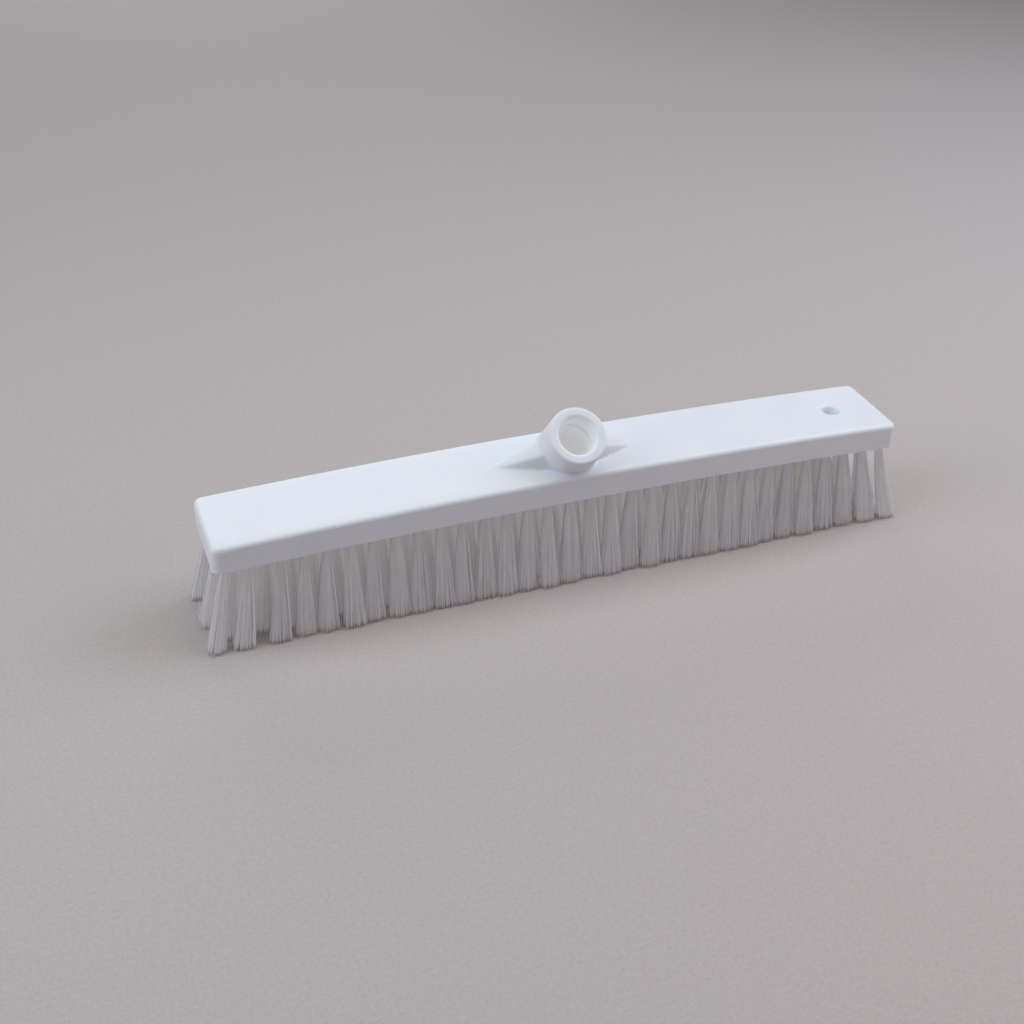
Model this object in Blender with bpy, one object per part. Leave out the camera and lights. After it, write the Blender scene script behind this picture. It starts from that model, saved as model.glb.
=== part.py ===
"""A push-broom head for hygienic floors.

One white moulded block with an angled handle socket, two gussets and a hanging hole, and five
rows of bristle tufts under it. Metres, +Z up, +X along the block, the socket leans to -Y.
The origin is at floor level, under the middle of the whole head.
"""

import math

import bmesh
import bpy

for leftover in list(bpy.data.objects):
    bpy.data.objects.remove(leftover, do_unlink=True)

# The block: a long bar, arched so that its middle stands higher than its ends
BLOCK_LENGTH = 0.500
BLOCK_WIDTH = 0.067
BLOCK_THICKNESS = 0.0183
BLOCK_RISE = 0.0054
CORNER_RADIUS = 0.0045
TOP_EDGE_RADIUS = 0.0028
FOOT_EDGE_RADIUS = 0.0010
BAND_WIDTH = 0.0045
BAND_DROP = 0.0006

# The bristles, trimmed level with the floor
BRISTLE_LENGTH = 0.0613
TUFT_PITCH = 0.0155
ROW_MARGIN = 0.0080
END_MARGIN = 0.0065
TUFT_ROOT_RADIUS = 0.0017
TUFT_TIP_RADIUS = 0.0039
STRAND_ROOT_RADIUS = 0.0013
STRAND_TIP_RADIUS = 0.0024
STRANDS_IN_TUFT = 3
ROW_SPLAY = 0.0045
END_SPLAY = 0.0130
TRIM = 0.0005

# The strip of block that each run of tufts is set in
STRIP_MARGIN = 0.0012
STRIP_DEPTH = 0.0030
SEAT_GAP = 0.0003

# The handle socket
SOCKET_LEAN = math.radians(41.2)
SOCKET_LENGTH = 0.0385
SOCKET_RADIUS = 0.0200
MOUTH_EDGE_RADIUS = 0.0020
BORE_RADIUS = 0.0140
BORE_EDGE_RADIUS = 0.0015
BORE_DEPTH = 0.0360
BORE_END_RADIUS = 0.0100
LEDGE_DEPTH = 0.0150
LEDGE_WIDTH = 0.0007
FOOT_FILLET = 0.0030

# The two gussets beside the socket
GUSSET_REACH = 0.0510
GUSSET_TIP_HEIGHT = 0.0006
GUSSET_ROOT_HEIGHT = 0.0144
GUSSET_TIP_WIDTH = 0.0036
GUSSET_ROOT_WIDTH = 0.0128
GUSSET_TIP_SET = 0.0012
GUSSET_ROOT_SET = 0.0044
GUSSET_EDGE_RADIUS = 0.0022
GUSSET_FILLET = 0.0018

# The hanging hole, near the right end
HANG_INSET = 0.0371
HANG_RADIUS = 0.0060
HANG_EDGE_RADIUS = 0.0009
HANG_WALL = 0.0010

# How far one form runs into or past another, how far a rounding runs out under the skin, and
# how close two places are that count as one
OVERRUN = 0.0020
RUN_OUT = 0.00015
TOUCH = 0.00001

# Shares and counts
EDGE_SHARE = 0.45
GAP_SHARE = 1.05
SPLIT_SHARE = 1.2
RUN_TUFTS = 6
SPLAY_POWER = 8
ARCH_STEPS = 12
CORNER_STEPS = 4
EDGE_STEPS = 3
FILLET_STEPS = 3
ROUND_SIDES = 48
HANG_SIDES = 24
GUSSET_STEPS = 5
ROW_NAMES = ("front_row", "second_row", "middle_row", "fourth_row", "back_row")
ROW_COUNT = len(ROW_NAMES)

HALF_LENGTH = BLOCK_LENGTH / 2
HALF_WIDTH = BLOCK_WIDTH / 2
STRIP_REACH = TUFT_ROOT_RADIUS + STRAND_ROOT_RADIUS + STRIP_MARGIN


def arch(x):
    """Height that the arch adds at this place along the block."""
    return BLOCK_RISE * (1 - (x / HALF_LENGTH) ** 2)


def underside(x):
    """Height of the block's underside above the floor."""
    return BRISTLE_LENGTH + arch(x)


def upperside(x):
    """Height of the block's top above the floor."""
    return underside(x) + BLOCK_THICKNESS


SOCKET_FOOT_Z = upperside(0)
HANG_X = HALF_LENGTH - HANG_INSET


def material(name, colour, roughness):
    """A plain opaque plastic."""
    made = bpy.data.materials.new(name)
    made.use_nodes = True
    shader = made.node_tree.nodes["Principled BSDF"]
    shader.inputs["Base Color"].default_value = (*colour, 1)
    shader.inputs["Roughness"].default_value = roughness
    shader.inputs["Metallic"].default_value = 0
    return made


def make_object(name, bm, finish):
    """Turn finished geometry into an object that hangs from the head's root."""
    bmesh.ops.recalc_face_normals(bm, faces=bm.faces)
    mesh = bpy.data.meshes.new(name)
    bm.to_mesh(mesh)
    bm.free()
    mesh.shade_smooth()
    mesh.set_sharp_from_angle(angle=math.radians(35))
    if finish:
        mesh.materials.append(finish)
    made = bpy.data.objects.new(name, mesh)
    bpy.context.scene.collection.objects.link(made)
    made.parent = root
    return made


def make_guide(name, bm):
    """A form that is only joined to the block or cut from it."""
    guide = make_object(name, bm, None)
    guide.hide_render = True
    guide.display_type = "WIRE"
    return guide


def join_rings(bm, rings):
    """Skin a stack of vertex rings and close both ends."""
    loops = [[bm.verts.new(point) for point in ring] for ring in rings]
    for lower, upper in zip(loops, loops[1:]):
        for i, vert in enumerate(lower):
            j = (i + 1) % len(lower)
            bm.faces.new((vert, lower[j], upper[j], upper[i]))
    bm.faces.new(reversed(loops[0]))
    bm.faces.new(loops[-1])


def boolean(target, other, operation):
    """Join another form to the target, or cut it away."""
    step = target.modifiers.new(other.name, "BOOLEAN")
    step.object = other
    step.operation = operation
    step.solver = "EXACT"


def level_edges(bm, z):
    """The edges that lie in the level plane at this height."""
    return [edge for edge in bm.edges if all(abs(vert.co.z - z) < TOUCH for vert in edge.verts)]


def block_bar():
    """The bare bar, with its rounded corners and edges, its shallow top bands and its arch."""
    bm = bmesh.new()
    corners = [(sx * HALF_LENGTH, sy * HALF_WIDTH, 0)
               for sx, sy in ((-1, -1), (1, -1), (1, 1), (-1, 1))]
    foot = bm.faces.new([bm.verts.new(corner) for corner in corners])
    top = bmesh.ops.extrude_face_region(bm, geom=[foot])["geom"]
    raised = [item for item in top if isinstance(item, bmesh.types.BMVert)]
    bmesh.ops.translate(bm, verts=raised, vec=(0, 0, BLOCK_THICKNESS))
    upright = [edge for edge in bm.edges if edge.verts[0].co.z != edge.verts[1].co.z]
    bmesh.ops.bevel(bm, geom=upright, offset=CORNER_RADIUS, segments=CORNER_STEPS,
                    profile=0.5, affect="EDGES")
    bmesh.ops.bevel(bm, geom=level_edges(bm, BLOCK_THICKNESS), offset=TOP_EDGE_RADIUS,
                    segments=EDGE_STEPS, profile=0.5, affect="EDGES")
    bmesh.ops.bevel(bm, geom=level_edges(bm, 0), offset=FOOT_EDGE_RADIUS,
                    segments=EDGE_STEPS - 1, profile=0.5, affect="EDGES")
    for step in range(1, ARCH_STEPS):
        station = -HALF_LENGTH + BLOCK_LENGTH * step / ARCH_STEPS
        cut_across(bm, (station, 0, 0), (1, 0, 0))
    band_line = HALF_WIDTH - TOP_EDGE_RADIUS - BAND_WIDTH
    for side in (-1, 1):
        cut_across(bm, (0, side * band_line, 0), (0, 1, 0))
    for vert in bm.verts:
        x, y, z = vert.co
        if z > BLOCK_THICKNESS / 2 and abs(y) > band_line + TOUCH:
            vert.co.z -= BAND_DROP * arch(x) / BLOCK_RISE
        vert.co.z += underside(x)
    return bm


def cut_across(bm, place, normal):
    """Add a line of vertices where this plane crosses the form."""
    everything = list(bm.verts) + list(bm.edges) + list(bm.faces)
    bmesh.ops.bisect_plane(bm, geom=everything, plane_co=place, plane_no=normal)


def socket_point(turn, radius, along):
    """A point on the leaning socket: turned about its axis, and this far up it."""
    across = radius * math.sin(turn)
    return (radius * math.cos(turn),
            across * math.cos(SOCKET_LEAN) - along * math.sin(SOCKET_LEAN),
            SOCKET_FOOT_Z + across * math.sin(SOCKET_LEAN) + along * math.cos(SOCKET_LEAN))


def square_ring(radius, along):
    """A ring square to the socket's axis."""
    return [socket_point(math.tau * i / ROUND_SIDES, radius, along) for i in range(ROUND_SIDES)]


def level_ring(radius, height, grow):
    """The socket's level section at a height above its foot, grown outward by a fillet."""
    ring = []
    for i in range(ROUND_SIDES):
        turn = math.tau * i / ROUND_SIDES
        drop = radius * math.sin(turn) * math.sin(SOCKET_LEAN)
        x, y, z = socket_point(turn, radius, (height - drop) / math.cos(SOCKET_LEAN))
        middle = -height * math.tan(SOCKET_LEAN)
        stretch = 1 + grow / radius
        ring.append((x * stretch, middle + (y - middle) * stretch, z))
    return ring


def round_over(radius, steps):
    """How far a quarter round has turned in and risen, from its start to its end."""
    turns = [math.pi / 2 * i / steps for i in range(steps + 1)]
    return [(radius * (1 - math.cos(turn)), radius * math.sin(turn)) for turn in turns]


def socket_form():
    """The socket's outside: a fillet at its foot, a round tube and a rounded mouth."""
    rings = [level_ring(SOCKET_RADIUS, -OVERRUN, FOOT_FILLET)]
    for spread, fall in reversed(round_over(FOOT_FILLET, FILLET_STEPS)):
        rings.append(level_ring(SOCKET_RADIUS, FOOT_FILLET - RUN_OUT - fall, spread))
    bm = bmesh.new()
    join_rings(bm, rings + mouth_rings())
    return bm


def mouth_rings():
    """The rings of the socket's rounded mouth."""
    straight = SOCKET_LENGTH - MOUTH_EDGE_RADIUS
    return [square_ring(SOCKET_RADIUS - inward, straight + rise)
            for inward, rise in round_over(MOUTH_EDGE_RADIUS, EDGE_STEPS)]


def bore_form():
    """The handle bore: a rounded lip, a shallow ledge and a rounded blind end."""
    lower_radius = BORE_RADIUS - LEDGE_WIDTH
    floor = SOCKET_LENGTH - BORE_DEPTH
    rings = []
    for inward, rise in reversed(round_over(BORE_END_RADIUS, EDGE_STEPS + 1)):
        rings.append(square_ring(lower_radius - inward, floor + BORE_END_RADIUS - rise))
    rings.append(square_ring(lower_radius, SOCKET_LENGTH - LEDGE_DEPTH - LEDGE_WIDTH / 2))
    rings.append(square_ring(BORE_RADIUS, SOCKET_LENGTH - LEDGE_DEPTH))
    lip = SOCKET_LENGTH - BORE_EDGE_RADIUS + RUN_OUT
    for outward, rise in round_over(BORE_EDGE_RADIUS, EDGE_STEPS):
        rings.append(square_ring(BORE_RADIUS + outward, lip + rise))
    rings.append(square_ring(BORE_RADIUS + BORE_EDGE_RADIUS, SOCKET_LENGTH + OVERRUN))
    bm = bmesh.new()
    join_rings(bm, rings)
    return bm


def hanging_hole_form():
    """The hanging hole, with rounded rims on the top and on the underside."""
    edge = HANG_EDGE_RADIUS - RUN_OUT
    rounding = round_over(HANG_EDGE_RADIUS, EDGE_STEPS)
    rings = [hanging_hole_ring(HANG_EDGE_RADIUS, underside, -OVERRUN)]
    rings += [hanging_hole_ring(out, underside, edge - fall) for out, fall in reversed(rounding)]
    rings += [hanging_hole_ring(out, upperside, rise - edge) for out, rise in rounding]
    rings.append(hanging_hole_ring(HANG_EDGE_RADIUS, upperside, OVERRUN))
    bm = bmesh.new()
    join_rings(bm, rings)
    return bm


def hanging_hole_ring(grow, surface, offset):
    """A ring of the hanging hole, at a set height from the arched top or underside."""
    ring = []
    for i in range(HANG_SIDES):
        turn = math.tau * i / HANG_SIDES
        x = HANG_X + (HANG_RADIUS + grow) * math.cos(turn)
        ring.append((x, (HANG_RADIUS + grow) * math.sin(turn), surface(x) + offset))
    return ring


def gusset_form(side):
    """One gusset: a wedge that climbs from its tip on the block to the socket's wall."""
    run = GUSSET_REACH - BORE_RADIUS
    sections = [gusset_section(side * (GUSSET_REACH + OVERRUN), 0, -OVERRUN)]
    for step in range(GUSSET_STEPS + 1):
        share = step / GUSSET_STEPS
        sections.append(gusset_section(side * (GUSSET_REACH - run * share), share, 0))
    bm = bmesh.new()
    join_rings(bm, sections)
    return bm


def gusset_section(x, share, lift):
    """A gusset cut across: a fillet at each foot, upright flanks and a rounded crest."""
    middle = -between(GUSSET_TIP_SET, GUSSET_ROOT_SET, share)
    half = between(GUSSET_TIP_WIDTH, GUSSET_ROOT_WIDTH, share) / 2
    height = between(GUSSET_TIP_HEIGHT, GUSSET_ROOT_HEIGHT, share)
    fillet = min(GUSSET_FILLET, height * EDGE_SHARE)
    edge = min(GUSSET_EDGE_RADIUS, height * EDGE_SHARE, half * EDGE_SHARE)
    flank = [(half + fillet, -OVERRUN)]
    flank += [(half + spread, fillet - RUN_OUT - fall)
              for spread, fall in reversed(round_over(fillet, FILLET_STEPS))]
    flank += [(half - inward, height - edge + rise)
              for inward, rise in round_over(edge, EDGE_STEPS)]
    outline = flank + [(-y, z) for y, z in reversed(flank)]
    return [(x, middle + y, upperside(x) + lift + z) for y, z in outline]


def between(start, end, share):
    """The value that lies this share of the way from one value to another."""
    return start + (end - start) * share


def regular_tufts():
    """Places of the evenly spaced tufts in a full row, and of the pair at its left end."""
    span = BLOCK_LENGTH - 2 * END_MARGIN
    right = HALF_LENGTH - END_MARGIN
    count = math.floor((span - TUFT_PITCH * (1 + GAP_SHARE)) / TUFT_PITCH) + 1
    even = [right - TUFT_PITCH * i for i in range(count)]
    pair = [-right + TUFT_PITCH, -right]
    return even, pair


def row_places(row):
    """Where the tufts of one row stand: every other row is set half a pitch over."""
    even, pair = regular_tufts()
    if row % 2:
        places = [x - TUFT_PITCH / 2 for x in even] + [(pair[0] + pair[1]) / 2]
    else:
        places = even + pair
    y = row_y(row)
    clear = HANG_RADIUS + HANG_EDGE_RADIUS + HANG_WALL + STRIP_REACH
    return sorted(x for x in places if math.hypot(x - HANG_X, y) > clear)


def row_y(row):
    """How far a row lies from the block's middle."""
    reach = HALF_WIDTH - ROW_MARGIN
    return reach * (2 * row / (ROW_COUNT - 1) - 1)


def row_runs(row):
    """Part a row into runs: at every wide gap, and then into about equal shares."""
    groups = [[]]
    for x in row_places(row):
        if groups[-1] and x - groups[-1][-1] > TUFT_PITCH * SPLIT_SHARE:
            groups.append([])
        groups[-1].append(x)
    runs = []
    for group in groups:
        shares = math.ceil(len(group) / RUN_TUFTS)
        ends = [round(len(group) * i / shares) for i in range(shares + 1)]
        runs += [group[start:end] for start, end in zip(ends, ends[1:])]
    return runs


def strip_outline(run, grow):
    """Plan corners of the strip that carries a run, grown all round, with a middle station."""
    side = STRIP_REACH + grow
    left = run[0] - side
    right = run[-1] + side
    middle = (left + right) / 2
    return [(left, -side), (middle, -side), (right, -side),
            (right, side), (middle, side), (left, side)]


def pocket_forms():
    """The shallow pockets in the underside, one for each strip."""
    bm = bmesh.new()
    for row in range(ROW_COUNT):
        for run in row_runs(row):
            outline = strip_outline(run, SEAT_GAP)
            rings = [[(x, row_y(row) + y, underside(x) + z) for x, y in outline]
                     for z in (-OVERRUN, STRIP_DEPTH + SEAT_GAP)]
            join_rings(bm, rings)
    return bm


def splay(x, y):
    """How far a tuft's tip leans out along the block and across it."""
    along = END_SPLAY * (abs(x) / HALF_LENGTH) ** SPLAY_POWER
    return math.copysign(along, x), ROW_SPLAY * (y / (HALF_WIDTH - ROW_MARGIN)) ** 3


def strand_section(x, y, turn, reach, radius, z):
    """A strand cut level: a triangle whose corner points away from the tuft's middle."""
    middle_x = x + reach * math.cos(turn)
    middle_y = y + reach * math.sin(turn)
    corners = [turn + math.tau * i / 3 for i in range(3)]
    return [(middle_x + radius * math.cos(corner), middle_y + radius * math.sin(corner), z)
            for corner in corners]


def add_strand(bm, x, y, turn):
    """One strand: grows from the strip and runs, widening, a little past the floor."""
    lean_x, lean_y = splay(x, y)
    root_ring = strand_section(x, y, turn, TUFT_ROOT_RADIUS, STRAND_ROOT_RADIUS, 0)
    tip_ring = strand_section(x + lean_x, y + lean_y, turn, TUFT_TIP_RADIUS,
                              STRAND_TIP_RADIUS, -underside(x) - TRIM)
    upper = [bm.verts.new(point) for point in root_ring]
    lower = [bm.verts.new(point) for point in tip_ring]
    for i in range(3):
        j = (i + 1) % 3
        bm.faces.new((upper[i], upper[j], lower[j], lower[i]))
    bm.faces.new(lower)
    return [bm.edges.get((upper[i], upper[(i + 1) % 3])) for i in range(3)]


def tuft_run_form(row, run):
    """A run of tufts: strands, fused to the strip of block that holds them, trimmed level."""
    bm = bmesh.new()
    y = row_y(row)
    foot = [bm.verts.new((px, y + py, 0)) for px, py in strip_outline(run, 0)]
    rim = [bm.edges.new((foot[i], foot[(i + 1) % len(foot)])) for i in range(len(foot))]
    openings = []
    outward = math.copysign(math.pi / 2, y)
    for x in run:
        for i in range(STRANDS_IN_TUFT):
            openings += add_strand(bm, x, y, math.tau * i / STRANDS_IN_TUFT + outward)
    bmesh.ops.triangle_fill(bm, edges=rim + openings, use_beauty=True)
    top = [bm.verts.new((vert.co.x, vert.co.y, STRIP_DEPTH)) for vert in foot]
    for i in range(len(foot)):
        j = (i + 1) % len(foot)
        bm.faces.new((foot[i], foot[j], top[j], top[i]))
    bm.faces.new((top[0], top[1], top[4], top[5]))
    bm.faces.new((top[1], top[2], top[3], top[4]))
    raise_to_block(bm, run)
    trim_level(bm)
    return bm


def raise_to_block(bm, run):
    """Lift the strip to the arched underside; each strand's tip stays under the floor."""
    for vert in bm.verts:
        if vert.co.z >= 0:
            vert.co.z += underside(vert.co.x)
        else:
            vert.co.z = -TRIM


def trim_level(bm):
    """Shear the strands off flat at the floor."""
    everything = list(bm.verts) + list(bm.edges) + list(bm.faces)
    cut = bmesh.ops.bisect_plane(bm, geom=everything, plane_co=(0, 0, 0), plane_no=(0, 0, -1),
                                 clear_outer=True)
    open_edges = [item for item in cut["geom_cut"] if isinstance(item, bmesh.types.BMEdge)]
    bmesh.ops.holes_fill(bm, edges=open_edges, sides=0)


def front_reach():
    """How far the socket's mouth reaches in front of the block's middle."""
    return max(-y for ring in mouth_rings() for x, y, z in ring)


def back_reach():
    """How far the bristle tips reach behind the block's middle."""
    y = row_y(ROW_COUNT - 1)
    return y + splay(0, y)[1] + TUFT_TIP_RADIUS + STRAND_TIP_RADIUS


root = bpy.data.objects.new("head", None)
bpy.context.scene.collection.objects.link(root)
root.location = (0, (front_reach() - back_reach()) / 2, 0)

white_plastic = material("white_plastic", (0.80, 0.84, 0.90), 0.38)
bristle_fibre = material("bristle_fibre", (0.66, 0.66, 0.67), 0.45)

block = make_object("block", block_bar(), white_plastic)
boolean(block, make_guide("socket_outside", socket_form()), "UNION")
for side, name in ((-1, "left_gusset"), (1, "right_gusset")):
    boolean(block, make_guide(name, gusset_form(side)), "UNION")
boolean(block, make_guide("handle_bore", bore_form()), "DIFFERENCE")
boolean(block, make_guide("hanging_hole", hanging_hole_form()), "DIFFERENCE")
boolean(block, make_guide("strip_pockets", pocket_forms()), "DIFFERENCE")

for row in range(ROW_COUNT):
    for number, run in enumerate(row_runs(row), start=1):
        make_object(f"{ROW_NAMES[row]}_tufts_{number}", tuft_run_form(row, run), bristle_fibre)
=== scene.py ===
"""A floor broom head: a white moulded block over five rows of pale bristle tufts, on grey board.

Metres, +Z up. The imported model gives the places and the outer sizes. Each section makes one kind
of piece of the head over it, and the board, the light and the camera come last.
"""
import math

import bmesh
import bpy
import numpy as np
from mathutils import Matrix, Vector


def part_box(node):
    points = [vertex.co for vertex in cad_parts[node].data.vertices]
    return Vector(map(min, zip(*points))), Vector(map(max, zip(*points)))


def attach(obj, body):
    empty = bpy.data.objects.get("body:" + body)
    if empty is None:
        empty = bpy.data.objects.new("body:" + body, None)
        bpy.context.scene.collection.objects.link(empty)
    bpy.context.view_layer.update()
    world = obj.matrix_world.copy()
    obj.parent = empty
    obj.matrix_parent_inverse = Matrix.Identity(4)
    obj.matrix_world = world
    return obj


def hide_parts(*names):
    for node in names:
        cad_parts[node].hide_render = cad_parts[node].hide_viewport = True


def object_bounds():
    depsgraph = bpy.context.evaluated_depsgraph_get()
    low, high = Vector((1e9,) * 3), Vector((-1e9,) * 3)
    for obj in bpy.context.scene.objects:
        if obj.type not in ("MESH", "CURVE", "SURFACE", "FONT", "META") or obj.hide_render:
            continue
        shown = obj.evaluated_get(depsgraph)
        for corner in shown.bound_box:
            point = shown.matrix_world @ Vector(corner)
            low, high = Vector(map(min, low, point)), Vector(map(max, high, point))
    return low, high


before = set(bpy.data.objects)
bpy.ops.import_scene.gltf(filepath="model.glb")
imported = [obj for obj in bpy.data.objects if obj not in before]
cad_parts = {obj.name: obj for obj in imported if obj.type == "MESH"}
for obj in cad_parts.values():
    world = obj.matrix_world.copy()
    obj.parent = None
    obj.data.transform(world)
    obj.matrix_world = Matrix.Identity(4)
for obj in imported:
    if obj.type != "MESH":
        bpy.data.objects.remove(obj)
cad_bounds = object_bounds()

# The block: one thick injection moulding in white polypropylene, arched along its length, with
# the handle socket, its two gussets and the hanging hole formed in one piece with it. Every
# edge and foot is rounded, and the skin is the fine satin of the mould.
block_low, block_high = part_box("block")
BLOCK_WIDTH = 0.067
BLOCK_THICKNESS = 0.0187
TOP_RISE = 0.0055
UNDERSIDE_RISE = 0.0047
FACE_DRAFT = 0.0007
CORNER_RADIUS = 0.0060
TOP_EDGE_RADIUS = 0.0033
FOOT_EDGE_RADIUS = 0.0007
BAND_WIDTH = 0.0045
BAND_DROP = 0.0002
HALF_LENGTH = block_high.x
HALF_WIDTH = BLOCK_WIDTH / 2
MIDDLE_Y = block_high.y - HALF_WIDTH
UNDERSIDE_Z = block_low.z
FOOT_Z = UNDERSIDE_Z + TOP_RISE + BLOCK_THICKNESS

# The socket's axis leans to the front from this far before the block's middle line. Its bore
# narrows at a ledge and ends blind and rounded.
SOCKET_SET = 0.0009
SOCKET_LEAN = math.radians(41.2)
SOCKET_LENGTH = 0.0364
SOCKET_RADIUS = 0.0204
SOCKET_ROOT = 0.0060
MOUTH_EDGE_RADIUS = 0.0018
BORE_RADIUS = 0.0135
BORE_DEPTH = 0.0360
BORE_END_RADIUS = 0.0100
LEDGE_DEPTH = 0.0150
LEDGE_WIDTH = 0.0010
LEDGE_BLEND = 0.0008

HANG_INSET = 0.0371
HANG_X = HALF_LENGTH - HANG_INSET
HANG_RADIUS = 0.0064

# Each gusset grows in height and in width from its tip to the socket. Its front is a steep wall
# under a slope, and its back stands nearly on the block's middle line.
GUSSET_REACH = 0.0505
GUSSET_TIP_HEIGHT = 0.0006
GUSSET_ROOT_HEIGHT = 0.0154
GUSSET_TIP_FRONT, GUSSET_ROOT_FRONT = 0.0050, 0.0182
GUSSET_TIP_FOOT, GUSSET_ROOT_FOOT = 0.0056, 0.0194
GUSSET_TIP_BACK, GUSSET_ROOT_BACK = 0.0006, 0.0020
GUSSET_EDGE_RADIUS = 0.0030
GUSSET_BELLY = 0.0010
GUSSET_WALL_SHARE = 0.85

# The fillets at the feet of the socket and the gussets, and the rounded lips of the two holes.
SOCKET_FILLET = 0.0032
GUSSET_FILLET = 0.0018
BORE_LIP = 0.0018
HANG_LIP = 0.0026

# The mesh: an even one first, then halved edges where the skin turns sharply, each time
# settled on the true skin.
VOXEL = 0.0016
PROBE = 0.00002
SHORTEST_EDGE = 0.0005
FINE_TURN = math.radians(9)
FINE_ROUNDS = 2
SETTLE_STEPS = 5
LEAST_STEEPNESS = 0.25
ARCH_CUTS = 31
ROD_SEGMENTS = 72


def arch(x, rise):
    """Height that the arch of the top or of the underside adds at this place along the block."""
    return rise * (1 - (x / HALF_LENGTH) ** 2)


def between(start, end, share):
    """The value that lies this share of the way from one value to another."""
    return start + (end - start) * share


def rounded(a, b, radius):
    """Distance to the solid inside two faces that meet in a rounded edge."""
    beyond = np.hypot(np.maximum(a + radius, 0), np.maximum(b + radius, 0))
    return beyond - radius + np.minimum(np.maximum(a + radius, b + radius), 0)


def joined(a, b, fillet):
    """Distance to two solids joined with a fillet between them."""
    near = np.maximum(fillet - np.abs(a - b), 0) / fillet
    return np.minimum(a, b) - near**2 * fillet / 4


def cut(a, b, lip):
    """Distance to the first solid where the second is cut from it with a rounded lip."""
    return -joined(-a, b, lip)


def moulding_distance(points):
    """Distance of points from the skin of the moulding, less than zero inside it."""
    x, y, z = points.T
    y = y - MIDDLE_Y
    low = z - UNDERSIDE_Z - arch(x, UNDERSIDE_RISE)
    high = z - UNDERSIDE_Z - BLOCK_THICKNESS - arch(x, TOP_RISE)
    side = HALF_WIDTH - FACE_DRAFT * low / BLOCK_THICKNESS
    plan = rounded(np.abs(x) - HALF_LENGTH, np.abs(y) - side, CORNER_RADIUS)
    band = np.clip((np.abs(y) - HALF_WIDTH + TOP_EDGE_RADIUS) / BAND_WIDTH + 1, 0, 1)
    top = high + band * arch(x, BAND_DROP)
    bar = np.maximum(rounded(plan, top, TOP_EDGE_RADIUS),
                     rounded(plan, -low, FOOT_EDGE_RADIUS))

    up = z - FOOT_Z
    along = up * math.cos(SOCKET_LEAN) - (y + SOCKET_SET) * math.sin(SOCKET_LEAN)
    across = up * math.sin(SOCKET_LEAN) + (y + SOCKET_SET) * math.cos(SOCKET_LEAN)
    radial = np.hypot(x, across)
    under_top = -SOCKET_ROOT - high
    tube = rounded(radial - SOCKET_RADIUS, along - SOCKET_LENGTH, MOUTH_EDGE_RADIUS)
    tube = np.maximum(tube, under_top)

    share = (GUSSET_REACH - np.abs(x)) / (GUSSET_REACH - BORE_RADIUS)
    height = between(GUSSET_TIP_HEIGHT, GUSSET_ROOT_HEIGHT, share)
    edge = between(GUSSET_TIP_FRONT, GUSSET_ROOT_FRONT, share)
    foot = between(GUSSET_TIP_FOOT, GUSSET_ROOT_FOOT, share)
    crest = high - height
    wall = -y - foot
    lean = (foot - edge) / np.maximum(height * (1 - GUSSET_WALL_SHARE), GUSSET_EDGE_RADIUS)
    slope = (-y - edge + crest * lean) / np.hypot(1, lean)
    front = rounded(wall, slope, GUSSET_BELLY)
    back = y - between(GUSSET_TIP_BACK, GUSSET_ROOT_BACK, share)
    gusset = rounded(rounded(front, crest, GUSSET_EDGE_RADIUS),
                     rounded(back, crest, GUSSET_EDGE_RADIUS), GUSSET_EDGE_RADIUS / 2)
    gusset = np.maximum(gusset, under_top)

    body = joined(joined(bar, tube, SOCKET_FILLET), gusset, GUSSET_FILLET)
    ledge = np.clip((SOCKET_LENGTH - LEDGE_DEPTH - along) / LEDGE_BLEND, 0, 1) * LEDGE_WIDTH
    bore = rounded(radial - BORE_RADIUS + ledge, SOCKET_LENGTH - BORE_DEPTH - along,
                   BORE_END_RADIUS)
    hole = np.hypot(x - HANG_X, y) - HANG_RADIUS
    return cut(cut(body, bore, BORE_LIP), hole, HANG_LIP)


def moulding_slope(points):
    """The way straight out of the skin at each point."""
    ways = np.empty_like(points)
    for axis in range(3):
        step = np.zeros(3)
        step[axis] = PROBE
        ways[:, axis] = moulding_distance(points + step) - moulding_distance(points - step)
    return ways / (2 * PROBE)


def settle(mesh, steps):
    """Move every vertex of a mesh on to the skin of the moulding, and return the ways out."""
    points = np.empty(len(mesh.vertices) * 3)
    mesh.vertices.foreach_get("co", points)
    points = points.reshape(-1, 3)
    for _ in range(steps):
        slope = moulding_slope(points)
        steep = np.maximum((slope**2).sum(1), LEAST_STEEPNESS)
        move = slope * (moulding_distance(points) / steep)[:, None]
        far = np.maximum(np.linalg.norm(move, axis=1) / VOXEL, 1)
        points -= move / far[:, None]
    mesh.vertices.foreach_set("co", points.ravel())
    mesh.update()
    slope = moulding_slope(points)
    return slope / np.linalg.norm(slope, axis=1)[:, None]


def new_piece(name, mesh):
    """A named object for a finished mesh."""
    piece = bpy.data.objects.new(name, mesh)
    bpy.context.scene.collection.objects.link(piece)
    return piece


def rough_piece(name, bm):
    """A plain form that goes into the rough block and is then removed."""
    mesh = bpy.data.meshes.new(name)
    bmesh.ops.recalc_face_normals(bm, faces=bm.faces)
    bm.to_mesh(mesh)
    bm.free()
    return new_piece(name, mesh)


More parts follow.
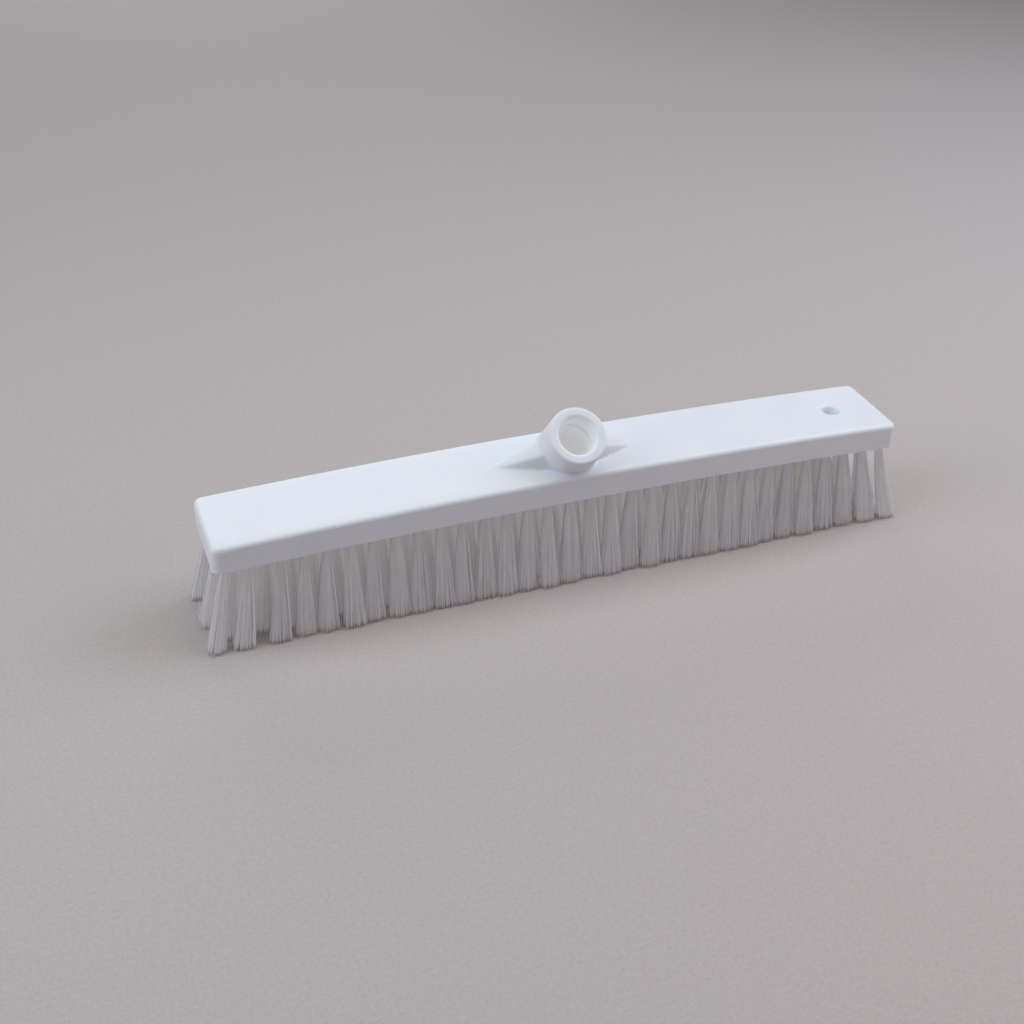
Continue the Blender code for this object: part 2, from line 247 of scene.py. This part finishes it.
def rough_bar():
    """The bare bar, arched, before its edges are rounded."""
    bm = bmesh.new()
    bmesh.ops.create_cube(bm, size=1)
    spots = Matrix.Diagonal((2 * HALF_LENGTH, BLOCK_WIDTH, BLOCK_THICKNESS, 1))
    bmesh.ops.transform(bm, matrix=spots, verts=bm.verts)
    long_edges = [edge for edge in bm.edges
                  if edge.verts[0].co.x * edge.verts[1].co.x < 0]
    bmesh.ops.subdivide_edges(bm, edges=long_edges, cuts=ARCH_CUTS, use_grid_fill=True)
    for vert in bm.verts:
        vert.co.y += MIDDLE_Y
        vert.co.z += UNDERSIDE_Z + BLOCK_THICKNESS / 2 + arch(vert.co.x, TOP_RISE)
    return rough_piece("rough_bar", bm)


def rough_rod(name, radius, start, end, lean):
    """A plain rod from one place on its axis to another, leaning like the socket or upright."""
    bm = bmesh.new()
    bmesh.ops.create_cone(bm, cap_ends=True, segments=ROD_SEGMENTS, radius1=radius,
                          radius2=radius, depth=end - start)
    bmesh.ops.translate(bm, verts=bm.verts, vec=(0, 0, (start + end) / 2))
    bmesh.ops.rotate(bm, verts=bm.verts, matrix=Matrix.Rotation(lean, 3, "X"))
    bmesh.ops.translate(bm, verts=bm.verts, vec=(0, MIDDLE_Y, FOOT_Z))
    if lean:
        bmesh.ops.translate(bm, verts=bm.verts, vec=(0, -SOCKET_SET, 0))
    return rough_piece(name, bm)


def rough_tube():
    """The socket's rod, its foot drawn down its own slope to one level inside the bar."""
    tube = rough_rod("rough_tube", SOCKET_RADIUS, 0, SOCKET_LENGTH, SOCKET_LEAN)
    axis = Vector((0, -math.sin(SOCKET_LEAN), math.cos(SOCKET_LEAN)))
    start = Vector((0, MIDDLE_Y - SOCKET_SET, FOOT_Z))
    for vert in tube.data.vertices:
        if (vert.co - start).dot(axis) < SOCKET_LENGTH / 2:
            vert.co += axis * (FOOT_Z - SOCKET_ROOT - vert.co.z) / axis.z
    return tube


def rough_gussets():
    """Both gussets as one flat-sided ridge that runs through the socket."""
    bm = bmesh.new()
    front, back = -GUSSET_ROOT_FOOT, GUSSET_ROOT_BACK
    ridge = [(-GUSSET_REACH, -BLOCK_THICKNESS / 2), (GUSSET_REACH, -BLOCK_THICKNESS / 2),
             (GUSSET_REACH, 0), (BORE_RADIUS, GUSSET_ROOT_HEIGHT),
             (-BORE_RADIUS, GUSSET_ROOT_HEIGHT), (-GUSSET_REACH, 0)]
    face = bm.faces.new([bm.verts.new((x, MIDDLE_Y + front, FOOT_Z + z)) for x, z in ridge])
    wall = bmesh.ops.extrude_face_region(bm, geom=[face])["geom"]
    moved = [item for item in wall if isinstance(item, bmesh.types.BMVert)]
    bmesh.ops.translate(bm, verts=moved, vec=(0, back - front, 0))
    return rough_piece("rough_gussets", bm)


def make_block():
    """Join and cut the rough forms, remesh them evenly, and settle the mesh on the true skin."""
    bar = rough_bar()
    hang = rough_rod("rough_hang", HANG_RADIUS, -3 * BLOCK_THICKNESS, BLOCK_THICKNESS, 0)
    hang.location.x = HANG_X
    steps = [
        (rough_tube(), "UNION"),
        (rough_gussets(), "UNION"),
        (rough_rod("rough_bore", BORE_RADIUS, SOCKET_LENGTH - BORE_DEPTH + MOUTH_EDGE_RADIUS,
                   2 * SOCKET_LENGTH, SOCKET_LEAN), "DIFFERENCE"),
        (hang, "DIFFERENCE"),
    ]
    for other, operation in steps:
        join = bar.modifiers.new(other.name, "BOOLEAN")
        join.object = other
        join.operation = operation
        join.solver = "EXACT"
    even = bar.modifiers.new("even", "REMESH")
    even.mode = "VOXEL"
    even.voxel_size = VOXEL
    deps = bpy.context.evaluated_depsgraph_get()
    mesh = bpy.data.meshes.new_from_object(bar.evaluated_get(deps))
    for rough in [bar] + [other for other, _ in steps]:
        bpy.data.objects.remove(rough, do_unlink=True)

    outward = settle(mesh, SETTLE_STEPS)
    for _ in range(FINE_ROUNDS):
        bm = bmesh.new()
        bm.from_mesh(mesh)
        bm.edges.ensure_lookup_table()
        ends = np.array([[vert.index for vert in edge.verts] for edge in bm.edges])
        lengths = np.array([edge.calc_length() for edge in bm.edges])
        turn = (outward[ends[:, 0]] * outward[ends[:, 1]]).sum(1)
        curved = (turn < math.cos(FINE_TURN)) & (lengths > 2 * SHORTEST_EDGE)
        fine = [bm.edges[i] for i in np.flatnonzero(curved)]
        bmesh.ops.subdivide_edges(bm, edges=fine, cuts=1, use_grid_fill=True)
        bm.to_mesh(mesh)
        bm.free()
        outward = settle(mesh, SETTLE_STEPS)
    mesh.shade_smooth()
    mesh.normals_split_custom_set_from_vertices(outward)
    mesh.name = "block_moulding"
    return new_piece("block_moulding", mesh)


def value_group(name, inputs, outputs):
    """An empty node group with float inputs and named outputs, and its two end nodes."""
    group = bpy.data.node_groups.new(name, "ShaderNodeTree")
    for label, value in inputs:
        socket = group.interface.new_socket(label, in_out="INPUT", socket_type="NodeSocketFloat")
        socket.default_value = value
    for label in outputs:
        group.interface.new_socket(label, in_out="OUTPUT", socket_type="NodeSocketFloat")
    return group, group.nodes.new("NodeGroupInput"), group.nodes.new("NodeGroupOutput")


def math_node(tree, operation, first, second=None, clamp=False):
    """A Math node whose inputs are sockets or numbers, and its result."""
    node = tree.nodes.new("ShaderNodeMath")
    node.operation = operation
    node.use_clamp = clamp
    for slot, value in zip(node.inputs, (first, second)):
        if isinstance(value, bpy.types.NodeSocket):
            tree.links.new(value, slot)
        elif value is not None:
            slot.default_value = value
    return node.outputs[0]


def noise(tree, place, scale, detail=2.0, roughness=0.5):
    """Noise over the surface, from 0 to 1."""
    node = tree.nodes.new("ShaderNodeTexNoise")
    node.inputs["Scale"].default_value = scale
    node.inputs["Detail"].default_value = detail
    node.inputs["Roughness"].default_value = roughness
    tree.links.new(place, node.inputs["Vector"])
    return node.outputs["Fac"]


# The skin's noise scales, in waves a metre, and the level over which a streak is a scuff.
CLOUD_SCALE = 22
WAVE_SCALE = 45
GRAIN_SCALE = 2600
SCUFF_SCALE = 900
SCUFF_LEVEL = 0.66
SCUFF_STRETCH = (0.12, 1.0, 1.0)
SCUFF_SHADE = -0.25
WAVE_TO_GRAIN = 6.0


def mould_skin_group():
    """The skin that a worn steel mould leaves: slow waves, a fine grain and faint scuffs."""
    group, start, end = value_group(
        "mould_skin", [("Grain", 1.0), ("Wave", 1.0), ("Scuff", 1.0)],
        ["Tone", "Gloss", "Height"])
    place = group.nodes.new("ShaderNodeTexCoord").outputs["Object"]
    stretch = group.nodes.new("ShaderNodeMapping")
    stretch.inputs["Scale"].default_value = SCUFF_STRETCH
    group.links.new(place, stretch.inputs["Vector"])
    cloud = math_node(group, "SUBTRACT", noise(group, place, CLOUD_SCALE, detail=3), 0.5)
    swell = math_node(group, "SUBTRACT", noise(group, place, WAVE_SCALE, detail=1), 0.5)
    wave = math_node(group, "MULTIPLY", swell, start.outputs["Wave"])
    pits = math_node(group, "SUBTRACT", noise(group, place, GRAIN_SCALE, detail=2), 0.5)
    grain = math_node(group, "MULTIPLY", pits, start.outputs["Grain"])
    streak = noise(group, stretch.outputs["Vector"], SCUFF_SCALE, detail=4, roughness=0.7)
    scuff = math_node(group, "MULTIPLY", math_node(
        group, "GREATER_THAN", streak, SCUFF_LEVEL), start.outputs["Scuff"])
    tone = math_node(group, "ADD", cloud, math_node(group, "MULTIPLY", scuff, SCUFF_SHADE))
    group.links.new(tone, end.inputs["Tone"])
    group.links.new(math_node(group, "ADD", cloud, scuff), end.inputs["Gloss"])
    height = math_node(
        group, "ADD", math_node(group, "MULTIPLY", wave, WAVE_TO_GRAIN), grain)
    group.links.new(height, end.inputs["Height"])
    return group


mould_skin = mould_skin_group()


def principled(name):
    """A new material with its tree and its Principled shader."""
    made = bpy.data.materials.new(name)
    made.use_nodes = True
    return made, made.node_tree, made.node_tree.nodes["Principled BSDF"]


# The places of the colour sockets on a Mix node, whose sockets share their names.
MIX_FIRST, MIX_SECOND, MIX_RESULT = 6, 7, 2


def blend_colours(tree, amount, first, second):
    """Mix from one colour to another by a socket's value."""
    mix = tree.nodes.new("ShaderNodeMix")
    mix.data_type = "RGBA"
    mix.clamp_factor = True
    tree.links.new(amount, mix.inputs["Factor"])
    for slot, value in ((mix.inputs[MIX_FIRST], first), (mix.inputs[MIX_SECOND], second)):
        if isinstance(value, bpy.types.NodeSocket):
            tree.links.new(value, slot)
        else:
            slot.default_value = (*value, 1)
    return mix.outputs[MIX_RESULT]


def distance_node(tree, first, second):
    """Distance from an axis, of which the two sockets give the offsets."""
    squares = [math_node(tree, "MULTIPLY", offset, offset) for offset in (first, second)]
    return math_node(tree, "SQRT", math_node(tree, "ADD", *squares))


def offset_node(tree, place, axis, origin):
    """How far the place lies from an origin along X, Y or Z."""
    split = tree.nodes.new("ShaderNodeSeparateXYZ")
    tree.links.new(place, split.inputs[0])
    return math_node(tree, "SUBTRACT", split.outputs[axis], origin)


def skin_bump(tree, shader, height, strength, distance):
    """Raise a fine relief on the shader from a height that changes over the surface."""
    bump = tree.nodes.new("ShaderNodeBump")
    bump.inputs["Strength"].default_value = strength
    bump.inputs["Distance"].default_value = distance
    tree.links.new(height, bump.inputs["Height"])
    tree.links.new(bump.outputs["Normal"], shader.inputs["Normal"])


# The plastic is a cool white. Down the bore it is painted paler and greener as painted light,
# for the light that the milky plastic lets through, and both holes carry a faint painted glow.
PLASTIC_DARK, PLASTIC_PALE = (0.770, 0.822, 0.885), (0.830, 0.878, 0.935)
PAINTED_BORE_LIGHT = (0.93, 0.95, 0.91)
HOLE_PAINTED_GLOW = (0.92, 0.87, 1.0)
HOLE_PAINTED_GLOW_STRENGTH = 0.085
LIGHT_REACH = 0.0018
LIGHT_REACH_BY_COLOUR = (1.0, 0.93, 0.84)
LIGHT_REACH_WEIGHT = 0.7
PLASTIC_ROUGHNESS, PLASTIC_ROUGHNESS_SPREAD = 0.40, 0.16
PLASTIC_SHINE = 0.42
PLASTIC_BUMP, PLASTIC_BUMP_HEIGHT = 0.35, 0.00006


def white_polypropylene():
    """Cool white moulded plastic, satin all over, painted paler and greener down the bore as
    light.
    """
    made, tree, shader = principled("white_polypropylene")
    skin = tree.nodes.new("ShaderNodeGroup")
    skin.node_tree = mould_skin
    shade = math_node(tree, "ADD", skin.outputs["Tone"], 0.5)
    outer = blend_colours(tree, shade, PLASTIC_DARK, PLASTIC_PALE)

    place = tree.nodes.new("ShaderNodeTexCoord").outputs["Object"]
    x = offset_node(tree, place, "X", 0.0)
    y = offset_node(tree, place, "Y", MIDDLE_Y - SOCKET_SET)
    up = offset_node(tree, place, "Z", FOOT_Z)
    lean_sin, lean_cos = math.sin(SOCKET_LEAN), math.cos(SOCKET_LEAN)
    across = math_node(tree, "ADD", math_node(tree, "MULTIPLY", up, lean_sin),
                       math_node(tree, "MULTIPLY", y, lean_cos))
    along = math_node(tree, "SUBTRACT", math_node(tree, "MULTIPLY", up, lean_cos),
                      math_node(tree, "MULTIPLY", y, lean_sin))
    in_bore = math_node(tree, "LESS_THAN", distance_node(tree, x, across),
                        BORE_RADIUS + LEDGE_BLEND)
    from_hole = distance_node(tree, offset_node(tree, place, "X", HANG_X),
                              offset_node(tree, place, "Y", MIDDLE_Y))
    in_hole = math_node(tree, "LESS_THAN", from_hole, HANG_RADIUS + LEDGE_BLEND)

    # Painted light: deeper down the bore the colour turns paler and greener, and the bore and the
    # hanging hole get a painted glow, an emission that stands in for light through the wall.
    depth = math_node(tree, "DIVIDE", math_node(
        tree, "SUBTRACT", SOCKET_LENGTH, along), LEDGE_DEPTH, clamp=True)
    painted_bore_share = math_node(tree, "MULTIPLY", in_bore, depth)
    tree.links.new(blend_colours(tree, painted_bore_share, outer, PAINTED_BORE_LIGHT), shader.inputs["Base Color"])
    painted_glow = blend_colours(tree, math_node(tree, "MAXIMUM", in_bore, in_hole),
                         (0.0, 0.0, 0.0), HOLE_PAINTED_GLOW)
    tree.links.new(painted_glow, shader.inputs["Emission Color"])
    shader.inputs["Emission Strength"].default_value = HOLE_PAINTED_GLOW_STRENGTH

    gloss = math_node(tree, "ADD", math_node(
        tree, "MULTIPLY", skin.outputs["Gloss"], PLASTIC_ROUGHNESS_SPREAD), PLASTIC_ROUGHNESS)
    tree.links.new(gloss, shader.inputs["Roughness"])
    skin_bump(tree, shader, skin.outputs["Height"], PLASTIC_BUMP, PLASTIC_BUMP_HEIGHT)
    shader.inputs["Specular IOR Level"].default_value = PLASTIC_SHINE
    shader.inputs["Subsurface Weight"].default_value = LIGHT_REACH_WEIGHT
    shader.inputs["Subsurface Radius"].default_value = LIGHT_REACH_BY_COLOUR
    shader.inputs["Subsurface Scale"].default_value = LIGHT_REACH
    return made


block = make_block()
block.data.materials.append(white_polypropylene())
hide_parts("block")
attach(block, "root")

# The bristle tufts: off-white polyester filament, folded in half, driven with a wire anchor
# into each drilled hole and trimmed level. A tuft leaves its hole round and tight and fans out
# to its tip, more so at the edges and ends of the block, where nothing holds it in.
FILAMENTS = 260
ROOT_RADIUS = 0.00026
TIP_RADIUS = 0.00018
FILAMENT_SIDES = 3
FAN_SHARES = (0.0, 0.33, 0.67, 1.0)
TUFT_SHADING = 0.7

# The fan at the tips is deeper in the inner rows, and a tuft leans out with its distance from
# the middle of the block. Every tuft and every tip strays a little.
HOLE_RADIUS = 0.0023
FAN_WIDTH = 0.0078
OUTER_FAN_DEPTH = 0.0046
INNER_FAN_DEPTH = 0.0080
FAN_SQUARENESS = 5.0
END_SQUEEZE = 0.30
ROW_MARGIN = 0.0080
ROW_SPLAY = 0.0065
END_SPLAY = 0.0120
END_INSET = 0.0032
END_POWER = 6
TUFT_PITCH = 0.0155
TUFT_WANDER = 0.0007
TIP_WANDER = 0.0007
BOW = 0.0005
TRIM_SCATTER = 0.0008
ROOT_DEPTH = 0.0015
FAN_LEAST, FAN_MOST = 0.94, 1.04
GOLDEN_TURN = math.pi * (3 - math.sqrt(5))

dice = np.random.default_rng(seed=7)


def tuft_places(node):
    """Where the tufts of one packed run stand, read from the strip that carries them."""
    corners = np.array([tuple(v.co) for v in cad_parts[node].data.vertices])
    strip = corners[corners[:, 2] > corners[:, 2].max() / 2]
    low, high = strip.min(0), strip.max(0)
    reach = (high[1] - low[1]) / 2
    first, last = low[0] + reach, high[0] - reach
    count = round((last - first) / TUFT_PITCH) + 1
    return np.linspace(first, last, count), (low[1] + high[1]) / 2


def splay(x, y):
    """How far a tuft's tip leans out along the block and across it."""
    along = math.copysign(END_SPLAY * (abs(x) / HALF_LENGTH) ** END_POWER, x)
    return np.array((along, ROW_SPLAY * (y - MIDDLE_Y) / (HALF_WIDTH - ROW_MARGIN)))


def tuft_filaments(x, y):
    """Centre lines of one tuft's filaments, and where each stands in the round of the tuft."""
    turn = np.arange(FILAMENTS) * GOLDEN_TURN + dice.uniform(0, math.tau)
    spread = np.sqrt((np.arange(FILAMENTS) + 0.5) / FILAMENTS)
    way = np.stack([np.cos(turn), np.sin(turn)], 1)
    square = (np.abs(way) ** FAN_SQUARENESS).sum(1) ** (-1 / FAN_SQUARENESS)
    lean = splay(x, y)
    root = np.array((x - lean[0] * END_INSET / END_SPLAY, y))
    root = root + way * spread[:, None] * HOLE_RADIUS
    lean = lean + dice.normal(0, TUFT_WANDER, 2)
    squeeze = 1 - END_SQUEEZE * (abs(x) / HALF_LENGTH) ** (2 * END_POWER)
    outer = abs(y - MIDDLE_Y) > HALF_WIDTH - ROW_MARGIN - HOLE_RADIUS
    depth = OUTER_FAN_DEPTH if outer else INNER_FAN_DEPTH
    fan = np.array((FAN_WIDTH * squeeze, depth)) * dice.uniform(FAN_LEAST, FAN_MOST)
    tip = np.array((x, y)) + lean + way * (spread * square)[:, None] * fan
    tip += dice.normal(0, TIP_WANDER, tip.shape)
    low, high = cad_bounds
    room = 2 * TIP_RADIUS
    tip = np.clip(tip, (low.x + room, low.y + room), (high.x - room, high.y - room))
    bow = dice.normal(0, BOW, root.shape)
    top = UNDERSIDE_Z + arch(x, UNDERSIDE_RISE) + ROOT_DEPTH
    end = np.abs(dice.normal(0, TRIM_SCATTER, FILAMENTS))
    lines = np.empty((FILAMENTS, len(FAN_SHARES), 3))
    for i, share in enumerate(FAN_SHARES):
        lines[:, i, :2] = between(root, tip, share) + bow * math.sin(math.pi * share)
        lines[:, i, 2] = between(top, end, share)
    return lines, np.pad(way * spread[:, None], ((0, 0), (0, 1)))


def bristle_mesh(name, lines, stands, tones):
    """Skin each filament as a thin closed tube, shaded partly as the tuft it is in."""
    count, rings = lines.shape[:2]
    turn = np.arange(FILAMENT_SIDES) * math.tau / FILAMENT_SIDES
    turn = turn + dice.uniform(0, math.tau, (count, 1))
    ring = np.stack([np.cos(turn), np.sin(turn), np.zeros_like(turn)], 2)
    radius = between(ROOT_RADIUS, TIP_RADIUS, np.array(FAN_SHARES))
    points = lines[:, :, None, :] + ring[:, None] * radius[None, :, None, None]
    points = points.reshape(-1, 3)
    start = (np.arange(count) * rings * FILAMENT_SIDES)[:, None, None]
    level = (np.arange(rings - 1) * FILAMENT_SIDES)[None, :, None]
    side = np.arange(FILAMENT_SIDES)[None, None, :]
    ahead = (side + 1) % FILAMENT_SIDES
    quads = np.stack([start + level + side, start + level + FILAMENT_SIDES + side,
                      start + level + FILAMENT_SIDES + ahead, start + level + ahead], -1)
    faces = quads.reshape(-1, 4).tolist()
    for first in start.ravel().tolist():
        last = first + (rings - 1) * FILAMENT_SIDES
        faces.append([first + i for i in range(FILAMENT_SIDES)])
        faces.append([last + i for i in reversed(range(FILAMENT_SIDES))])
    mesh = bpy.data.meshes.new(name)
    mesh.from_pydata(points.tolist(), [], faces)
    mesh.shade_smooth()
    ways = between(ring[:, None], stands[:, None, None], TUFT_SHADING)
    ways = np.broadcast_to(ways, (count, rings, FILAMENT_SIDES, 3)).reshape(-1, 3)
    mesh.normals_split_custom_set_from_vertices(
        ways / np.linalg.norm(ways, axis=1)[:, None])
    tone = mesh.attributes.new("tone", "FLOAT", "POINT")
    tone.data.foreach_set("value", np.repeat(tones, rings * FILAMENT_SIDES))
    return mesh


# Clean filament between two tones, and on its last few millimetres a darkening that is partly soil
# and partly painted contact shade. All filaments carry a faint painted glow that stands in for the
# light they pass on to each other: warmer inside the head, brighter at its ends.
FILAMENT_DARK, FILAMENT_PALE = (0.45, 0.45, 0.47), (0.62, 0.62, 0.64)
SOIL_AND_SHADE, SOIL_AND_SHADE_GLOW = (0.20, 0.15, 0.12), (0.25, 0.18, 0.14)
SOIL_AND_SHADE_HEIGHT = 0.0035
SOIL_AND_SHADE_SHARE = 1.2
SOIL_AND_SHADE_SCALE = 1100
OUTER_PAINTED_GLOW, INNER_PAINTED_GLOW, END_PAINTED_GLOW = (0.66, 0.63, 0.66), (1.0, 0.93, 0.88), (0.98, 0.97, 1.0)
END_PAINTED_GLOW_REACH = 0.035
FILAMENT_PAINTED_GLOW_STRENGTH = 0.165
STREAK_SCALE = 900
STREAK_STRETCH = (1.0, 1.0, 0.04)
FILAMENT_ROUGHNESS, FILAMENT_ROUGHNESS_SPREAD = 0.28, 0.2
TUFT_TONE, TUFT_TONE_SPREAD, FILAMENT_TONE_SPREAD = 0.6, 0.10, 0.16


def bristle_filament():
    """Milky polyester: each filament has its own tone, and the tips carry soil and painted shade.
    """
    made, tree, shader = principled("bristle_filament")
    tone = tree.nodes.new("ShaderNodeAttribute")
    tone.attribute_name = "tone"
    clean = blend_colours(tree, tone.outputs["Fac"], FILAMENT_DARK, FILAMENT_PALE)
    place = tree.nodes.new("ShaderNodeTexCoord").outputs["Object"]
    # The last few millimetres of the tips are darkened and their glow dimmed, partly as soil and
    # partly as painted contact shade by the ground.
    soil_and_shade = tree.nodes.new("ShaderNodeMapRange")
    soil_and_shade.inputs["From Min"].default_value = 0.0
    soil_and_shade.inputs["From Max"].default_value = SOIL_AND_SHADE_HEIGHT
    soil_and_shade.inputs["To Min"].default_value = SOIL_AND_SHADE_SHARE
    soil_and_shade.inputs["To Max"].default_value = 0.0
    tree.links.new(offset_node(tree, place, "Z", 0.0), soil_and_shade.inputs["Value"])
    soiled_and_shaded = math_node(tree, "MULTIPLY", soil_and_shade.outputs["Result"],
                       noise(tree, place, SOIL_AND_SHADE_SCALE, detail=2))
    tree.links.new(blend_colours(tree, soiled_and_shaded, clean, SOIL_AND_SHADE), shader.inputs["Base Color"])

    # Painted glow: an emission, warmer and stronger in the inner rows and paler at the ends, that
    # stands in for light passed on through the filaments.
    from_middle = math_node(tree, "ABSOLUTE", offset_node(tree, place, "Y", MIDDLE_Y))
    inward = math_node(tree, "DIVIDE", math_node(
        tree, "SUBTRACT", HALF_WIDTH - ROW_MARGIN - FAN_WIDTH / 2, from_middle),
        FAN_WIDTH, clamp=True)
    from_centre = math_node(tree, "ABSOLUTE", offset_node(tree, place, "X", 0.0))
    endward = math_node(tree, "DIVIDE", math_node(
        tree, "SUBTRACT", from_centre, HALF_LENGTH - END_PAINTED_GLOW_REACH), END_PAINTED_GLOW_REACH, clamp=True)
    painted_glow = blend_colours(tree, inward, OUTER_PAINTED_GLOW, INNER_PAINTED_GLOW)
    painted_glow = blend_colours(tree, endward, painted_glow, END_PAINTED_GLOW)
    tree.links.new(blend_colours(tree, soiled_and_shaded, painted_glow, SOIL_AND_SHADE_GLOW),
                   shader.inputs["Emission Color"])
    shader.inputs["Emission Strength"].default_value = FILAMENT_PAINTED_GLOW_STRENGTH

    streak = tree.nodes.new("ShaderNodeMapping")
    streak.inputs["Scale"].default_value = STREAK_STRETCH
    tree.links.new(place, streak.inputs["Vector"])
    gloss = math_node(tree, "ADD", math_node(
        tree, "MULTIPLY", noise(tree, streak.outputs["Vector"], STREAK_SCALE),
        FILAMENT_ROUGHNESS_SPREAD), FILAMENT_ROUGHNESS)
    tree.links.new(gloss, shader.inputs["Roughness"])
    return made


bristle_material = bristle_filament()
for node in sorted(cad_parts):
    if node == "block":
        continue
    places, row_y = tuft_places(node)
    tufts = [tuft_filaments(x, row_y) for x in places]
    lines, stands = (np.concatenate(part) for part in zip(*tufts))
    tuft_tones = np.repeat(dice.normal(TUFT_TONE, TUFT_TONE_SPREAD, len(places)), FILAMENTS)
    tones = np.clip(tuft_tones + dice.normal(0, FILAMENT_TONE_SPREAD, len(lines)), 0, 1)
    name = node.replace("tufts", "bristles")
    bristles = new_piece(name, bristle_mesh(name, lines, stands, tones))
    bristles.data.materials.append(bristle_material)
    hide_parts(node)
    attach(bristles, "root")

# The ground: a sheet of uncoated grey-beige board, mottled and specked like recycled stock.
# It only carries the head and isn't part of it.
GROUND_SIZE = 14.0
PULP_DARK, PULP_PALE = (0.395, 0.362, 0.353), (0.585, 0.548, 0.535)
PULP_SCALE = 420
FLECK = (0.26, 0.23, 0.21)
FLECK_SCALE = 700
FLECK_LEVEL = 0.735
FLECK_STRENGTH = 0.35
BOARD_ROUGHNESS = 0.85
BOARD_BUMP, BOARD_BUMP_HEIGHT = 0.25, 0.0002


def grey_board():
    """Uncoated board, mottled at the scale of its pulp, with sparse dark specks."""
    made, tree, shader = principled("grey_board")
    place = tree.nodes.new("ShaderNodeTexCoord").outputs["Object"]
    pulp = noise(tree, place, PULP_SCALE, detail=5, roughness=0.65)
    board = blend_colours(tree, pulp, PULP_DARK, PULP_PALE)
    fleck = math_node(tree, "GREATER_THAN", noise(tree, place, FLECK_SCALE, detail=1),
                      FLECK_LEVEL)
    board = blend_colours(tree, math_node(tree, "MULTIPLY", fleck, FLECK_STRENGTH), board, FLECK)
    tree.links.new(board, shader.inputs["Base Color"])
    shader.inputs["Roughness"].default_value = BOARD_ROUGHNESS
    skin_bump(tree, shader, pulp, BOARD_BUMP, BOARD_BUMP_HEIGHT)
    return made


bm = bmesh.new()
bmesh.ops.create_grid(bm, x_segments=1, y_segments=1, size=GROUND_SIZE / 2)
ground_mesh = bpy.data.meshes.new("ground")
bm.to_mesh(ground_mesh)
bm.free()
ground = new_piece("ground", ground_mesh)
ground.data.materials.append(grey_board())

# The light: seven soft boxes, overhead, high over both ends, low beyond both ends, behind, and
# in front on the right, and a faint surround. The top is bright, and the front in quiet shade.
SURROUND = (1.0, 1.0, 1.0)
SURROUND_STRENGTH = 0.059
SOFT_BOX_SHARE = 0.71
SOFT_BOX_AIM = 0.08
scene = bpy.context.scene
world = bpy.data.worlds.new("surround")
world.use_nodes = True
world.node_tree.nodes["Background"].inputs["Color"].default_value = (*SURROUND, 1)
world.node_tree.nodes["Background"].inputs["Strength"].default_value = SURROUND_STRENGTH
scene.world = world


def soft_box(name, place, power, colour):
    """A square soft box that faces the head, as large for its distance as the others."""
    lamp = bpy.data.lights.new(name, "AREA")
    lamp.size = SOFT_BOX_SHARE * Vector(place).length
    lamp.energy = power
    lamp.color = colour
    hung = bpy.data.objects.new(name, lamp)
    hung.location = place
    aim = Vector((0, 0, SOFT_BOX_AIM)) - Vector(place)
    hung.rotation_euler = aim.to_track_quat("-Z", "Y").to_euler()
    scene.collection.objects.link(hung)


soft_box("overhead_box", (0, 0, 1.8), 9.9, (1.0, 0.91, 0.69))
soft_box("high_right_box", (1.25, 0, 1.35), 17.1, (0.82, 0.84, 1.0))
soft_box("high_left_box", (-1.25, 0, 1.35), 12.5, (0.60, 0.80, 1.0))
soft_box("left_box", (-1.8, 0, 0.55), 8.5, (1.0, 0.69, 0.63))
soft_box("right_box", (1.8, -0.2, 0.45), 2.6, (0.60, 0.95, 1.0))
soft_box("back_box", (0, 2.3, 0.7), 14.2, (0.93, 0.95, 1.0))
soft_box("front_box", (1.3, -1.3, 0.9), 5.8, (1.0, 0.68, 0.64))

# The camera: a 50 mm lens, held high and in front of the left end, looking down at the head. It
# is turned to the right, and tipped a little out of level as the photograph is.
CAMERA_PLACE = (-0.336, MIDDLE_Y - 0.778, 0.595)
CAMERA_YAW, CAMERA_DIP, CAMERA_ROLL = (math.radians(turn) for turn in (21.05, 33.47, 1.32))
CAMERA_LENS, SENSOR_WIDTH = 50.25, 36
camera_data = bpy.data.cameras.new("camera")
camera_data.lens = CAMERA_LENS
camera_data.sensor_width = SENSOR_WIDTH
camera = bpy.data.objects.new("camera", camera_data)
ahead = Vector((math.sin(CAMERA_YAW) * math.cos(CAMERA_DIP),
                math.cos(CAMERA_YAW) * math.cos(CAMERA_DIP), -math.sin(CAMERA_DIP)))
level = Vector((math.cos(CAMERA_YAW), -math.sin(CAMERA_YAW), 0))
upright = level.cross(ahead)
across = level * math.cos(CAMERA_ROLL) + upright * math.sin(CAMERA_ROLL)
above = upright * math.cos(CAMERA_ROLL) - level * math.sin(CAMERA_ROLL)
turned = Matrix((across, above, -ahead)).transposed().to_4x4()
camera.matrix_world = Matrix.Translation(CAMERA_PLACE) @ turned
scene.collection.objects.link(camera)
scene.camera = camera
scene.view_settings.view_transform = "Standard"
